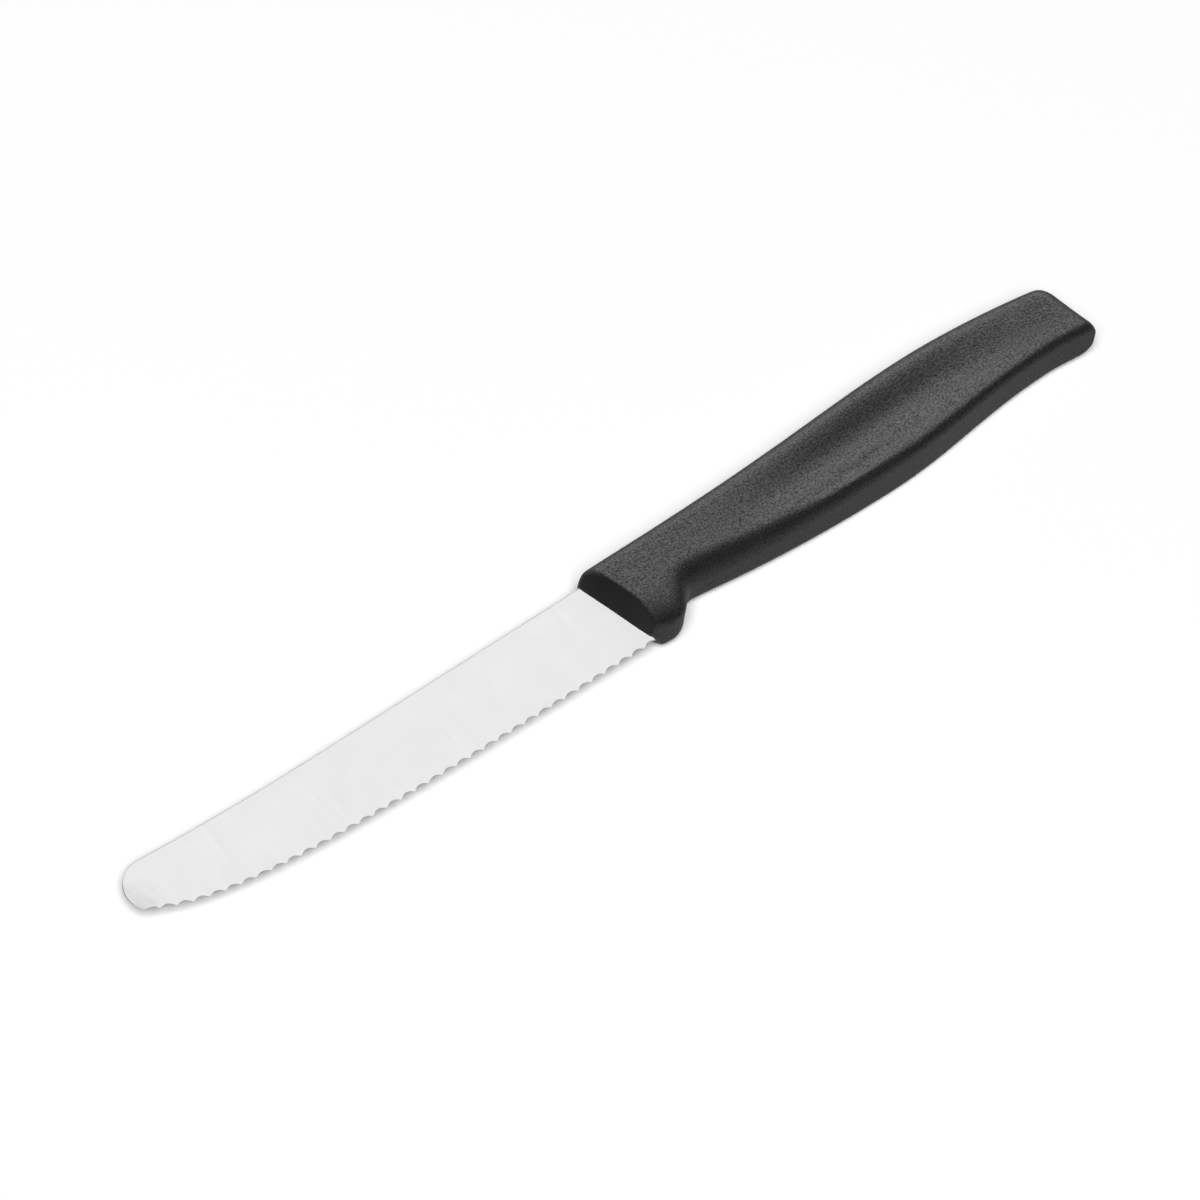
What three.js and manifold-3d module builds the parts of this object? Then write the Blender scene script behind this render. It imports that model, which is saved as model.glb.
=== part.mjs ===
// Sandwich knife: a serrated steel blade whose tang is moulded into a one-piece plastic handle.
// Millimetres. The knife lies on its side: X runs from the tip to the butt, Y points from the
// cutting edge to the spine, Z is up. While the pieces are made, X = 0 is the handle's foremost
// point, Y = 0 is the blade's straight spine and Z = 0 is the middle of the steel.
import * as THREE from 'three';
import { mergeVertices } from 'three/addons/utils/BufferGeometryUtils.js';
import Module from 'manifold-3d';

// Blade outline
const BLADE_LENGTH = 104.6; // from the tip to the handle's foremost point
const BLADE_WIDTH = 16.8;
const TIP_RADIUS = 5.7;
const SPINE_RISE = 1.4; // how far the tip's top stands above the straight spine
const SPINE_SWEEP = 4; // degrees the spine has turned up where it meets the tip
const EDGE_START = 213.4; // degrees round the tip where the serrations begin
const EDGE_SLOPE = 30; // degrees the edge falls away from there
const EDGE_TIP_HANDLE = 14.3; // reach of that slope
const EDGE_HEEL_HANDLE = 77; // reach of the nearly straight stretch at the heel

// Blade section and serrations
const STOCK_THICKNESS = 1.2;
const EDGE_THICKNESS = 0.4; // of the ground blade at the heel's cusps, before the gullets
const FIRST_SCALLOP = 2.87; // the scallop that the tip cuts short
const SCALLOP_PITCH = 3.069;
const SCALLOP_DEPTH = 0.64;
const SCALLOP_RUN_IN = 6; // length of edge at the tip over which the scallops get their depth
const GULLET_ANGLE = 22; // degrees between a gullet and the flat side

// Tang inside the handle
const NECK_SPINE_INSET = 1.7; // step from the blade's width to the neck, at the spine
const NECK_EDGE_INSET = 4.2; // and at the edge, where the guard's corner is rounded
const NECK_REACH = 8; // how far the neck goes past the handle's foremost point
const TANG_LENGTH = 66;
const TANG_WIDTH = 8.4;
const TANG_DROP = 6; // centre line below the spine
const TANG_END_RADIUS = 2.5;
const TANG_HOLE_RADIUS = 2.2;
const TANG_HOLE_COUNT = 3;
const TANG_HOLE_PITCH = 17;
const TANG_HOLE_FIRST = 22; // from the handle's foremost point
const FIT_CLEARANCE = 0.3; // between the steel and the plastic moulded round it

// Handle: high and low points of its two side lines, as distance from the front and height
const SPINE_LENGTH = 110.6;
const SPINE_FRONT_HEIGHT = 0.85;
const SPINE_LEVEL_TO = 12; // the spine side is level up to here
const HUMP_AT = 79;
const HUMP_HEIGHT = 3.05;
const SPINE_END_HEIGHT = 0.3;
const GUARD_FRONT = 4.6; // the front face slopes back this far from the spine to the guard
const GUARD_FRONT_DEPTH = 15.9;
const GUARD_AT = 8.9;
const GUARD_DEPTH = 16.5;
const WAIST_AT = 17.75;
const WAIST_DEPTH = 12;
const PALM_AT = 62;
const PALM_DEPTH = 15.25;
const TAIL_REACH = 11; // from the tail's low point to the butt
const TAIL_DEPTH = 12.2;
const BUTT_SLANT = 2.7; // how far the butt's belly corner lies behind its spine corner
const BUTT_DEPTH = 12.8;

// How far a side line stays level next to those points, as a share of the stretch there
const LEVEL_SHARE = 0.4; // at the points that no other share is given for
const SPINE_LEVEL_AFTER = 0.55;
const HUMP_BEFORE = 0.28;
const HUMP_AFTER = 0.5;
const GUARD_FRONT_SHARE = 0.2;
const GUARD_SHARE = 0.5;
const WAIST_BEFORE = 0.42;
const WAIST_AFTER = 0.07;
const PALM_BEFORE = 0.64;

// Handle section
const HANDLE_THICKNESS = 11.2;
const BUTT_THICKNESS = 9.8;
const TAPER_START = 58; // the handle gets thinner from here to the butt
const SIDE_RADIUS = 2.8; // rounding along spine and belly
const NOSE_THICKNESS = 4; // of the front face's upright middle strip
const NOSE_LEAN = 2.2; // how far the front face leans back above and below that strip
const NOSE_RUNOUT = 16; // the sections stand upright from here on
const NOSE_RADIUS = 0.9; // rounding of the front face's rim
const GUARD_CORNER = 3; // rounding of the guard's front corner, seen from above
const BUTT_RADIUS = 3.2; // rounding of the butt's rim on both sides
const BUTT_SPINE_CORNER = 1.6; // rounding of its corners, seen from above
const BUTT_BELLY_CORNER = 1;
const ROUND_LIMIT = 0.9; // most of a section's half thickness that its corners may take up

// Shallow scoop along each side, under the spine
const SCOOP_DEPTH = 1.1;
const SCOOP_DROP = 5.2; // its deepest line below the spine side
const SCOOP_RIM = 3.6; // from the deepest line up to the spine's rim
const SCOOP_RUNOUT = 7.5; // from the deepest line out to the belly
const SCOOP_FROM = 30;
const SCOOP_TO = 108;
const SCOOP_FADE = 34; // length over which each end runs out

// How finely curved faces are divided
const RING_SPACING = 2;
const CURVE_STEPS = 60;
const CORNER_STEPS = 5;
const FACE_STEPS = 12;
const WALL_STEPS = 2;
const ROUND_STEPS = 6;
const TIP_STEPS = 14;
const HOLE_STEPS = 12;
const SCALLOP_STEPS = 6;
const MERGE_TOLERANCE = 1e-5;

const wasm = await Module();
wasm.setup();

const { degToRad, smoothstep, lerp } = THREE.MathUtils;

// A closed geometry as a solid that can be joined and cut.
function solidOf(geometry) {
  const bare = geometry.index ? geometry.toNonIndexed() : geometry.clone();
  bare.deleteAttribute('normal');
  bare.deleteAttribute('uv');
  const merged = mergeVertices(bare, MERGE_TOLERANCE);
  const triVerts = new Uint32Array(merged.index.array);
  const vertProperties = new Float32Array(merged.attributes.position.array);
  return new wasm.Manifold(new wasm.Mesh({ numProp: 3, vertProperties, triVerts }));
}

function geometryOf(solid) {
  const { vertProperties, triVerts } = solid.getMesh();
  const geometry = new THREE.BufferGeometry();
  geometry.setAttribute('position', new THREE.BufferAttribute(vertProperties, 3));
  geometry.setIndex(new THREE.BufferAttribute(triVerts, 1));
  geometry.computeVertexNormals();
  return geometry;
}

// A flat outline given its thickness, half of it on each side of the middle plane.
function plate(shape, thickness, curveSegments) {
  const geometry = new THREE.ExtrudeGeometry(shape, { depth: thickness, bevelEnabled: false, curveSegments });
  return geometry.translate(0, 0, -thickness / 2);
}

// The handle's front line at a height, in the middle plane.
function frontAt(height) {
  const slope = GUARD_FRONT / (SPINE_FRONT_HEIGHT + GUARD_FRONT_DEPTH);
  return (SPINE_FRONT_HEIGHT - height) * slope;
}

const tipCentre = new THREE.Vector2(TIP_RADIUS - BLADE_LENGTH, SPINE_RISE - TIP_RADIUS);
const heelTop = new THREE.Vector2(frontAt(0) - FIT_CLEARANCE, 0);
const heelBottom = new THREE.Vector2(frontAt(-BLADE_WIDTH) - FIT_CLEARANCE, -BLADE_WIDTH);

// A point at a distance and an angle in degrees from another.
function pointFrom(centre, distance, degrees) {
  const angle = degToRad(degrees);
  return new THREE.Vector2(centre.x + distance * Math.cos(angle), centre.y + distance * Math.sin(angle));
}

// The cutting edge's cusp line, from the tip to the heel.
function edgeCurve() {
  const start = pointFrom(tipCentre, TIP_RADIUS, EDGE_START);
  const leave = pointFrom(start, EDGE_TIP_HANDLE, -EDGE_SLOPE);
  const arrive = pointFrom(heelBottom, EDGE_HEEL_HANDLE, 180);
  return new THREE.CubicBezierCurve(start, leave, arrive, heelBottom);
}

// Heel, spine sweeping up to the round tip, and the tip round to where the serrations begin.
function backPoints() {
  const join = pointFrom(tipCentre, TIP_RADIUS, 90 - SPINE_SWEEP);
  const bend = join.y / Math.tan(degToRad(SPINE_SWEEP)); // back to where the two tangents cross
  const path = new THREE.Path();
  path.moveTo(heelTop.x, heelTop.y);
  path.lineTo(join.x + 2 * bend, 0);
  path.quadraticCurveTo(join.x + bend, 0, join.x, join.y);
  path.absarc(tipCentre.x, tipCentre.y, TIP_RADIUS, degToRad(90 - SPINE_SWEEP), degToRad(EDGE_START), false);
  return path.getPoints(TIP_STEPS);
}

// The serrated edge up to the heel. Each point has its place on the blade's upper side and the step
// from there to where its gullet leaves the lower side.
function edgePoints() {
  const edge = edgeCurve();
  const length = edge.getLength();
  const cusps = Math.floor((length - FIRST_SCALLOP) / SCALLOP_PITCH) + 2;
  const points = [];
  for (let i = 0; i < cusps * SCALLOP_STEPS; i += 1) {
    const scallop = i / SCALLOP_STEPS;
    const past = FIRST_SCALLOP + (scallop - 1) * SCALLOP_PITCH;
    const distance = scallop < 1 ? scallop * FIRST_SCALLOP : past;
    if (distance >= length) break;
    const along = edge.getTangentAt(distance / length);
    const inward = new THREE.Vector2(-along.y, along.x);
    const grown = Math.min(1, distance / SCALLOP_RUN_IN);
    const part = scallop % 1;
    const depth = SCALLOP_DEPTH * grown * 4 * part * (1 - part);
    const at = edge.getPointAt(distance / length).addScaledVector(inward, depth);
    const slope = (2 * halfThicknessAt(at.y) * grown) / Math.tan(degToRad(GULLET_ANGLE));
    points.push({ at, gullet: inward.multiplyScalar(slope) });
  }
  const heel = points.filter(({ at }) => at.x < frontAt(at.y) - FIT_CLEARANCE);
  heel.push({ at: heelBottom, gullet: heel.at(-1).gullet });
  return heel;
}

// Half the ground blade's thickness at a height: flat faces that close in from spine to edge.
function halfThicknessAt(height) {
  return lerp(STOCK_THICKNESS, EDGE_THICKNESS, -height / BLADE_WIDTH) / 2;
}

// The ground blade. Its gullets slope from the edge of the upper side into the lower side.
function groundBlade() {
  const back = backPoints();
  const edge = edgePoints();
  const upper = [...back, ...edge.map(({ at }) => at)];
  const lower = [...back, ...edge.map(({ at, gullet }) => at.clone().add(gullet))];
  const count = upper.length;
  const points = [
    ...upper.map(({ x, y }) => new THREE.Vector3(x, y, halfThicknessAt(y))),
    ...lower.map(({ x, y }) => new THREE.Vector3(x, y, -halfThicknessAt(y))),
  ];
  const faces = [
    ...THREE.ShapeUtils.triangulateShape(upper, []).flat(),
    ...THREE.ShapeUtils.triangulateShape(lower, []).flatMap(([a, b, c]) => [c + count, b + count, a + count]),
  ];
  for (let i = 0; i < count; i += 1) {
    const next = (i + 1) % count;
    faces.push(i, i + count, next, next, i + count, next + count);
  }
  return solidOf(new THREE.BufferGeometry().setFromPoints(points).setIndex(faces));
}

// Neck and tang with their locking holes, grown by a clearance for the space they leave in the handle.
function tangShape(grow, front) {
  const neckTop = -NECK_SPINE_INSET + grow;
  const neckBottom = NECK_EDGE_INSET - BLADE_WIDTH - grow;
  const neckEnd = NECK_REACH + grow;
  const tangTop = TANG_WIDTH / 2 - TANG_DROP + grow;
  const tangBottom = -TANG_WIDTH / 2 - TANG_DROP - grow;
  const tangEnd = TANG_LENGTH + grow;
  const corner = TANG_END_RADIUS + grow;
  const shape = new THREE.Shape();
  shape.moveTo(frontAt(neckTop) - front, neckTop);
  shape.lineTo(frontAt(neckBottom) - front, neckBottom);
  shape.lineTo(neckEnd, neckBottom);
  shape.lineTo(neckEnd, tangBottom);
  shape.absarc(tangEnd - corner, tangBottom + corner, corner, -Math.PI / 2, 0, false);
  shape.absarc(tangEnd - corner, tangTop - corner, corner, 0, Math.PI / 2, false);
  shape.lineTo(neckEnd, tangTop);
  shape.lineTo(neckEnd, neckTop);
  for (let i = 0; i < TANG_HOLE_COUNT; i += 1) {
    const centreX = TANG_HOLE_FIRST + i * TANG_HOLE_PITCH;
    const hole = new THREE.Path();
    hole.absarc(centreX, -TANG_DROP, TANG_HOLE_RADIUS - grow, 0, 2 * Math.PI, true);
    shape.holes.push(hole);
  }
  return shape;
}

function makeBlade() {
  const tang = plate(tangShape(0, 2 * FIT_CLEARANCE), STOCK_THICKNESS, HOLE_STEPS);
  return geometryOf(groundBlade().add(solidOf(tang)));
}

// A side line of the handle: a smooth curve that is level at each of its high and low points.
// Each point is its place, its height and the shares of the stretches before and after it.
function sideLine(points) {
  const line = new THREE.CurvePath();
  for (let i = 1; i < points.length; i += 1) {
    const [fromX, fromY, , leave] = points[i - 1];
    const [toX, toY, arrive] = points[i];
    line.add(new THREE.CubicBezierCurve(
      new THREE.Vector2(fromX, fromY),
      new THREE.Vector2(fromX + leave * (toX - fromX), fromY),
      new THREE.Vector2(toX - arrive * (toX - fromX), toY),
      new THREE.Vector2(toX, toY),
    ));
  }
  const drawn = line.curves.flatMap((curve) => curve.getPoints(CURVE_STEPS));
  return (x) => {
    const next = Math.max(1, drawn.findIndex((point) => point.x >= x));
    const a = drawn[next - 1];
    const b = drawn[next];
    return lerp(a.y, b.y, b.x > a.x ? (x - a.x) / (b.x - a.x) : 0);
  };
}

const buttAt = SPINE_LENGTH + BUTT_SLANT;
const spineAt = sideLine([
  [0, SPINE_FRONT_HEIGHT, 0, LEVEL_SHARE],
  [SPINE_LEVEL_TO, SPINE_FRONT_HEIGHT, LEVEL_SHARE, SPINE_LEVEL_AFTER],
  [HUMP_AT, HUMP_HEIGHT, HUMP_BEFORE, HUMP_AFTER],
  [SPINE_LENGTH, SPINE_END_HEIGHT, 0, 0],
]);
const bellyAt = sideLine([
  [GUARD_FRONT, -GUARD_FRONT_DEPTH, 0, GUARD_FRONT_SHARE],
  [GUARD_AT, -GUARD_DEPTH, GUARD_SHARE, GUARD_SHARE],
  [WAIST_AT, -WAIST_DEPTH, WAIST_BEFORE, WAIST_AFTER],
  [PALM_AT, -PALM_DEPTH, PALM_BEFORE, LEVEL_SHARE],
  [buttAt - TAIL_REACH, -TAIL_DEPTH, LEVEL_SHARE, LEVEL_SHARE],
  [buttAt, -BUTT_DEPTH, LEVEL_SHARE, 0],
]);

// How deep the scoop is at a place on the handle's side.
function scoopAt(x, y) {
  const below = spineAt(THREE.MathUtils.clamp(x, 0, SPINE_LENGTH)) - SCOOP_DROP - y;
  const across = 1 - smoothstep(Math.abs(below), 0, below < 0 ? SCOOP_RIM : SCOOP_RUNOUT);
  const starts = smoothstep(x, SCOOP_FROM, SCOOP_FROM + SCOOP_FADE);
  const ends = 1 - smoothstep(x, SCOOP_TO - SCOOP_FADE, SCOOP_TO);
  return SCOOP_DEPTH * across * starts * ends;
}

// How far the front face lies behind its foremost strip at a height.
function leanAt(z) {
  const upright = NOSE_THICKNESS / 2;
  return NOSE_LEAN * Math.max(0, (Math.abs(z) - upright) / (HANDLE_THICKNESS / 2 - upright));
}

// The two ends of the slanted line across the handle at a distance along its spine.
function sidesAt(along) {
  const bellyX = lerp(GUARD_FRONT, buttAt, along / SPINE_LENGTH);
  const spine = new THREE.Vector2(along, spineAt(along));
  const belly = new THREE.Vector2(bellyX, bellyAt(bellyX));
  return { spine, belly };
}

// How far a rounded corner draws an outline in, at a distance from the end that it rounds.
function cornerInset(radius, distance) {
  const short = Math.max(0, radius - distance);
  return radius - Math.sqrt(radius ** 2 - short ** 2);
}

// How far a cross-section at a distance from the front is drawn in by the front face's rounding,
// and how round its own corners are.
function noseInset(along) {
  const rim = cornerInset(NOSE_RADIUS, along);
  const belly = rim + cornerInset(GUARD_CORNER, along);
  return { rim, spine: rim, belly, round: Math.max(SIDE_RADIUS - rim, NOSE_RADIUS) };
}

// The same at a distance from the butt.
function buttInset(end) {
  return {
    rim: cornerInset(BUTT_RADIUS, end),
    spine: cornerInset(BUTT_SPINE_CORNER, end),
    belly: cornerInset(BUTT_BELLY_CORNER, end),
    round: SIDE_RADIUS,
  };
}

// One cross-section of the handle: a rounded rectangle between its two side lines, drawn in at the
// rim, spine and belly. It slants as the front face does, and takes a share of that face's lean.
function handleRing(along, inset, lean) {
  const ends = sidesAt(along);
  const full = ends.spine.distanceTo(ends.belly);
  const width = full - inset.spine - inset.belly;
  const half = handleHalfAt(along) - inset.rim;
  const radius = Math.min(inset.round, ROUND_LIMIT * half);
  const ring = [];
  const put = (across, z) => {
    const { spine, belly } = sidesAt(along + lean * leanAt(z));
    const at = spine.lerp(belly, (inset.spine + across) / full);
    const hollow = Math.max(0, 1 - scoopAt(at.x, at.y) / half);
    ring.push(new THREE.Vector3(at.x, at.y, z * hollow));
  };
  const corner = (across, z, startAngle) => {
    for (let i = 0; i <= CORNER_STEPS; i += 1) {
      const angle = startAngle + (i / CORNER_STEPS) * (Math.PI / 2);
      put(across - radius * Math.cos(angle), z + radius * Math.sin(angle));
    }
  };
  const straight = (fromAcross, fromZ, toAcross, toZ, steps) => {
    for (let i = 1; i < steps; i += 1) {
      put(lerp(fromAcross, toAcross, i / steps), lerp(fromZ, toZ, i / steps));
    }
  };
  const far = width - radius;
  const high = half - radius;
  corner(radius, high, 0);
  straight(radius, half, far, half, FACE_STEPS);
  corner(far, high, Math.PI / 2);
  straight(width, high, width, -high, WALL_STEPS);
  corner(far, -high, Math.PI);
  straight(far, -half, radius, -half, FACE_STEPS);
  corner(radius, -high, 1.5 * Math.PI);
  straight(0, -high, 0, high, WALL_STEPS);
  return ring;
}

// Half the handle's thickness, which falls slowly at first and then evenly towards the butt.
function handleHalfAt(along) {
  const thin = smoothstep(along, TAPER_START, 2 * SPINE_LENGTH - TAPER_START) * 2;
  return lerp(HANDLE_THICKNESS, BUTT_THICKNESS, thin) / 2;
}

// The cross-sections from the leaning front face to the rounded butt.
function handleRings() {
  const first = Math.max(NOSE_RADIUS, GUARD_CORNER);
  const last = Math.max(BUTT_RADIUS, BUTT_SPINE_CORNER, BUTT_BELLY_CORNER);
  const lip = (HANDLE_THICKNESS - NOSE_THICKNESS) / 2;
  const face = { rim: lip, spine: lip, belly: lip + GUARD_CORNER, round: NOSE_RADIUS };
  const rings = [handleRing(0, face, 1)];
  for (let i = 0; i < ROUND_STEPS; i += 1) {
    const along = first * (1 - Math.cos((i / ROUND_STEPS) * (Math.PI / 2)));
    rings.push(handleRing(along, noseInset(along), 1));
  }
  const count = Math.round((SPINE_LENGTH - last - first) / RING_SPACING);
  for (let i = 0; i < count; i += 1) {
    const along = lerp(first, SPINE_LENGTH - last, i / count);
    rings.push(handleRing(along, noseInset(along), 1 - smoothstep(along, first, NOSE_RUNOUT)));
  }
  for (let i = 0; i <= ROUND_STEPS; i += 1) {
    const end = last * (1 - Math.sin((i / ROUND_STEPS) * (Math.PI / 2)));
    rings.push(handleRing(SPINE_LENGTH - end, buttInset(end), 0));
  }
  return rings;
}

// The skin over a row of rings, closed by a fan at each end.
function skin(rings) {
  const count = rings[0].length;
  const points = rings.flat();
  const faces = [];
  for (let r = 0; r + 1 < rings.length; r += 1) {
    for (let i = 0; i < count; i += 1) {
      const a = r * count + i;
      const b = r * count + ((i + 1) % count);
      faces.push(a, b, a + count, b, b + count, a + count);
    }
  }
  const cap = (ring, start, order) => {
    const middle = ring.reduce((sum, point) => sum.add(point), new THREE.Vector3()).divideScalar(count);
    const centre = points.push(middle) - 1;
    for (let i = 0; i < count; i += 1) {
      faces.push(centre, ...order(start + i, start + ((i + 1) % count)));
    }
  };
  cap(rings[0], 0, (a, b) => [b, a]);
  cap(rings.at(-1), (rings.length - 1) * count, (a, b) => [a, b]);
  return new THREE.BufferGeometry().setFromPoints(points).setIndex(faces);
}

// The moulding, with the space that neck and tang fill. Plugs pass through the tang's holes.
function makeHandle() {
  const clear = STOCK_THICKNESS + 2 * FIT_CLEARANCE;
  const space = plate(tangShape(FIT_CLEARANCE, NECK_REACH), clear, HOLE_STEPS);
  return geometryOf(solidOf(skin(handleRings())).subtract(solidOf(space)));
}

const steel = new THREE.MeshStandardMaterial({ color: 0xd6d8da, roughness: 0.38, metalness: 1 });
const plastic = new THREE.MeshStandardMaterial({ color: 0x1c1d1f, roughness: 0.55, metalness: 0 });

const blade = new THREE.Mesh(makeBlade(), steel);
blade.name = 'blade';
const handle = new THREE.Mesh(makeHandle(), plastic);
handle.name = 'handle';

// The finished knife stands with its origin under the middle of its box.
const knife = new THREE.Group();
knife.add(blade, handle);
const box = new THREE.Box3().setFromObject(knife);
const middle = box.getCenter(new THREE.Vector3());
knife.position.set(-middle.x, -middle.y, -box.min.z);

export default knife;
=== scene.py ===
"""A sandwich knife on a white table: a scalloped steel blade moulded into a plastic handle."""
import bisect
import math

import bmesh
import bpy
from mathutils import Matrix, Vector
from mathutils.geometry import interpolate_bezier


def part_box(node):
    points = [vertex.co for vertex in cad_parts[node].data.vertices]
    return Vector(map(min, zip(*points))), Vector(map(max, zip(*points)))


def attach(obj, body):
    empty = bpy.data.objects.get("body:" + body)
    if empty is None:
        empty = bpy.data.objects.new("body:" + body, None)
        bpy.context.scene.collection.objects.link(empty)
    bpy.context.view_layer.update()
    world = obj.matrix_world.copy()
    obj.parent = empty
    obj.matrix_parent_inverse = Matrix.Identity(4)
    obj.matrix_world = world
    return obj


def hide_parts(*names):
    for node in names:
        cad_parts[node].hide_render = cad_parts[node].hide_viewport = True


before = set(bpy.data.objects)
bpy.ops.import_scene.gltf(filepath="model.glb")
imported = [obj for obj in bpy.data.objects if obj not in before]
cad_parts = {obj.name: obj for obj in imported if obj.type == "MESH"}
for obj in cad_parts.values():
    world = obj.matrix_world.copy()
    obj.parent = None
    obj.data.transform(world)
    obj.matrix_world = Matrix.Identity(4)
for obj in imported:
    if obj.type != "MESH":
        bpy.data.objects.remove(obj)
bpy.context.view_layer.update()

MM = 0.001

# Blade outline
BLADE_LENGTH = 104.6 * MM
BLADE_WIDTH = 16.79 * MM
TIP_RADIUS = 5.7 * MM
SPINE_RISE = 1.4 * MM  # how far the tip's top stands above the measuring point
SPINE_LEVEL = 0.1 * MM  # and the straight spine
SPINE_SWEEP = 4  # degrees the spine has turned up where it meets the tip
EDGE_START = 212.5  # degrees round the tip where the serrations begin
EDGE_SLOPE = 34.3  # degrees the edge falls away from there
EDGE_TIP_HANDLE = 13 * MM  # of the edge's curve, at its two ends
EDGE_HEEL_HANDLE = 78.5 * MM
SPINE_SEAT = 0.9 * MM  # how far the blade's full width runs into the handle
EDGE_SEAT = 0.05 * MM  # the same at the edge

# Blade section and serrations
STOCK_THICKNESS = 1.2 * MM
EDGE_THICKNESS = 0.4 * MM
BEVEL_RUN = 0.45 * MM  # eased corners of the spine
BEVEL_DROP = 0.34 * MM
BEVEL_FROM, BEVEL_TO = 80, 175  # degrees round the tip between which they run out
FIRST_SCALLOP = 2.84 * MM
SCALLOP_PITCH = 3.064 * MM
SCALLOP_DEPTH = 0.75 * MM
SCALLOP_RUN_IN = 2.4 * MM
GULLET_ANGLE = 22  # degrees between a gullet and the flat side
GULLET_HOLLOW = 0.03 * MM
EDGE_LAND = 0.05 * MM  # blunt rest of steel at the points of the edge
GULLET_LAND = 0.38 * MM  # and in the middle of a gullet
TIP_GRIND_FROM = 150  # degrees round the tip where the lower side starts to be ground thin
ROLL_FROM, ROLL_TO = 140, 235  # degrees round the tip where the upper side rolls off
ROLL_WIDTH = 3.2 * MM
ROLL_DEPTH = 0.13 * MM
ROLL_FULL = 0.35  # share of the way from the roll-off's middle to its ends that has all of it
ROLL_STEP = 2  # degrees that a step along the edge counts for in it
BLADE_CREASE = 20  # degrees between faces from which an edge looks crisp

# Neck and tang inside the handle
NECK_SPINE_INSET = 1.7 * MM
NECK_EDGE_INSET = 4.2 * MM
NECK_REACH = 8 * MM
TANG_LENGTH = 66 * MM
TANG_WIDTH = 8.4 * MM
TANG_DROP = 6 * MM

# Handle side lines: distance behind the front and height over the measuring point
SPINE_LENGTH = 110.6 * MM
SPINE_FRONT_HEIGHT = 0.85 * MM
SPINE_LEVEL_TO = 12 * MM
HUMP_AT = 79 * MM
HUMP_HEIGHT = 3.049 * MM
SPINE_END_HEIGHT = 0.3 * MM
GUARD_FRONT = 4.6 * MM
GUARD_FRONT_DEPTH = 15.9 * MM
GUARD_AT = 9.2 * MM
GUARD_DEPTH = 16.78 * MM
WAIST_AT = 17.2 * MM
WAIST_DEPTH = 12.15 * MM
PALM_AT = 62 * MM
PALM_DEPTH = 15.05 * MM
TAIL_REACH = 11 * MM
TAIL_DEPTH = 12.12 * MM
BUTT_SLANT = 2.64 * MM
BUTT_DEPTH = 12.8 * MM
BUTT_AT = SPINE_LENGTH + BUTT_SLANT
FRONT_SLOPE = GUARD_FRONT / (SPINE_FRONT_HEIGHT + GUARD_FRONT_DEPTH)

# Handle section
HANDLE_THICKNESS = 11.2 * MM
BUTT_THICKNESS = 9.8 * MM
TAPER_START = 58 * MM
SIDE_RADIUS = 2.8 * MM
GUARD_ROLL = 7.5 * MM  # how far across the upper side rolls down to the guard
GUARD_DROP = 2.5 * MM  # and how far down
BELLY_RADIUS = 4.5 * MM  # rounding of the belly's upper side, behind the guard
UNDER_RADIUS = 3.2 * MM  # along the lower side, at the guard
PALM_RADIUS = 1.9 * MM  # from the palm swell on
GUARD_TO = 5 * MM  # where that roll starts to turn into the belly's rounding
BELLY_FROM, BELLY_TO = 12 * MM, 66 * MM
NOSE_BULGE = 1.45  # over 1, the front face is fuller at half height
NOSE_SPINE_BULGE = 2.2  # at the spine
NOSE_LEAN = 2.5 * MM  # how far its rim lies behind its middle height, in the middle of the face
NOSE_SPINE_LEAN = 2.3 * MM  # at the spine
NOSE_GUARD_LEAN = 1.2 * MM  # at the guard, over the blade
NOSE_UNDER_LEAN = 3.2 * MM  # at the guard, below the blade
NOSE_UNDER_BULGE = 0.8
NOSE_SPINE_SHARE, NOSE_GUARD_SHARE = 0.45, 0.55  # of the way across, where the middle starts and ends
NOSE_AHEAD = 0.16 * MM  # of the front face's middle before the side lines' start
NOSE_RUNOUT = 16 * MM  # how far behind the front the sections stand straight again
NOSE_RADIUS = 1.2 * MM  # rounding of the front face's spine corner
NOSE_SPREAD = 1.35  # how far the spine corner's round reaches across, against how far back
NOSE_RIM = 0.3 * MM  # rounding of its upper and lower edge
GUARD_CORNER = 0.8 * MM  # and of its guard corner
BUTT_RADIUS = 3.2 * MM
BUTT_SPINE_CORNER = 1.6 * MM
BUTT_BELLY_CORNER = 0.85 * MM
ROUND_LIMIT = 0.9  # most of a section's half thickness or width that a corner may take up
HANDLE_CREASE = 40  # degrees between faces from which an edge looks crisp

# Shallow scoop along each side, under the spine
SCOOP_DEPTH = 1.3 * MM
SCOOP_DROP = 8.6 * MM  # its deepest line below the spine side
SCOOP_RIM = 6.2 * MM  # from the deepest line up to the spine's rim
SCOOP_RUNOUT = 7 * MM  # from the deepest line out to the belly
SCOOP_FROM = 18 * MM
SCOOP_DEEPEST = 62 * MM
SCOOP_TO = 122 * MM

# Faint second hollow between the scoop and the belly
FOLD_DEPTH = 0.45 * MM
FOLD_DROP = 13.6 * MM
FOLD_HALF_WIDTH = 2 * MM
FOLD_AT = 58 * MM
FOLD_REACH = 22 * MM

# Finish of the steel, ground across the blade
STEEL_DARK = (0.705, 0.707, 0.71, 1)
STEEL_LIGHT = (0.842, 0.844, 0.847, 1)
STEEL_METALLIC = 0.72
STEEL_SMOOTH, STEEL_ROUGH = 0.46, 0.56
STEEL_LINES = (0.22 * MM, 8 * MM, 8 * MM)
STEEL_LINES_DEPTH = 0.0015 * MM
STEEL_CLOUDS = (5 * MM, 4 * MM, 4 * MM)
STEEL_CLOUD_SHARE = 0.35  # of the clouds in the colour, against the ground lines

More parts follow.
